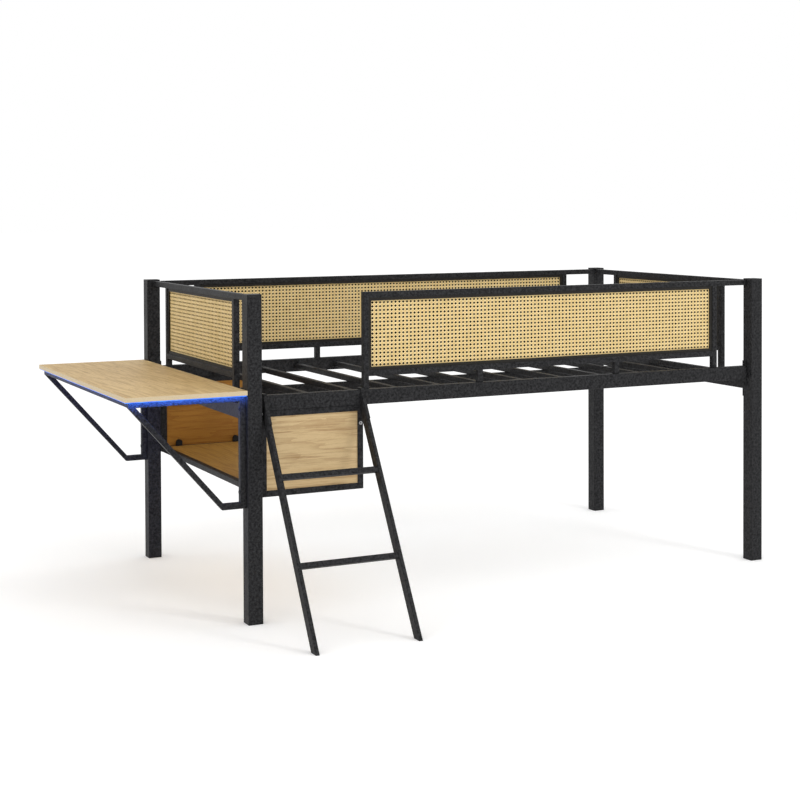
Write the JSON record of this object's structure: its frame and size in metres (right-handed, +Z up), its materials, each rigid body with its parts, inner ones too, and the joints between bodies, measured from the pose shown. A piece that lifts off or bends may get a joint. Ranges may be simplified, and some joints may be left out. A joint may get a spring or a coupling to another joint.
{
  "type": "loft bed with desk",
  "caption": "Low metal loft bed with woven cane guards, slatted deck, hook-on ladder, desk shelf on brackets at one end and a wooden cubby underneath.",
  "frame": {"origin": "on the floor, under the middle of the whole bounding box, desk and ladder included", "axes": "+Z up; +X along the bed, away from the desk end; +Y from the ladder side to the back"},
  "size_m": [2.45, 1.511, 1.055],
  "materials": {
    "black_powder_coat": "fine textured satin powder coat",
    "light_oak": "matt oak-grain board with a pale edge band",
    "woven_cane": "open woven cane webbing",
    "dark_trim": "matt retaining strip",
    "black_plastic": "moulded matt plastic",
    "blue_led": "lit diffuser",
    "bolt_steel": "plated socket-head bolts"
  },
  "bodies": {
    "bed": {"back_cane_panel": "woven_cane", "back_cane_strip": "dark_trim", "back_cubby_frame": "black_powder_coat", "back_cubby_panel": "light_oak", "back_desk_bracket": "black_powder_coat", "back_guard_frame": "black_powder_coat", "back_left_post": "black_powder_coat", "back_right_post": "black_powder_coat", "back_side_rail": "black_powder_coat", "bracket_bolts": "black_powder_coat", "centre_beam": "black_powder_coat", "cubby_bolts": "bolt_steel", "cubby_connectors": "black_plastic", "cubby_shelf": "light_oak", "desk_cross_tube": "black_powder_coat", "desktop": "light_oak", "front_cane_panel": "woven_cane", "front_cane_strip": "dark_trim", "front_cubby_frame": "black_powder_coat", "front_cubby_panel": "light_oak", "front_desk_bracket": "black_powder_coat", "front_guard_frame": "black_powder_coat", "front_led_strip": "blue_led", "front_left_post": "black_powder_coat", "front_right_post": "black_powder_coat", "front_side_rail": "black_powder_coat", "left_cane_panel": "woven_cane", "left_cane_strip": "dark_trim", "left_cubby_rail": "black_powder_coat", "left_end_rail": "black_powder_coat", "left_guard_frame": "black_powder_coat", "outer_led_strip": "blue_led", "post_caps": "black_plastic", "post_feet": "black_plastic", "rail_bolts": "black_powder_coat", "rail_lugs": "black_powder_coat", "right_cane_panel": "woven_cane", "right_cane_strip": "dark_trim", "right_cubby_rail": "black_powder_coat", "right_end_rail": "black_powder_coat", "right_guard_frame": "black_powder_coat", "slat_01": "black_powder_coat", "slat_02": "black_powder_coat", "slat_03": "black_powder_coat", "slat_04": "black_powder_coat", "slat_05": "black_powder_coat", "slat_06": "black_powder_coat", "slat_07": "black_powder_coat", "slat_08": "black_powder_coat", "slat_09": "black_powder_coat", "slat_10": "black_powder_coat", "slat_11": "black_powder_coat", "slat_12": "black_powder_coat"},
    "ladder": {"ladder_shoes": "black_plastic", "left_ladder_hook": "black_powder_coat", "left_ladder_stringer": "black_powder_coat", "lower_rung": "black_powder_coat", "right_ladder_hook": "black_powder_coat", "right_ladder_stringer": "black_powder_coat", "upper_rung": "black_powder_coat"}
  },
  "joints": [
    {"name": "ladder_lift", "type": "slide", "parent": "bed", "child": "ladder", "axis": [0, 0, 1], "range_m": [0, 0.3]}
  ]
}
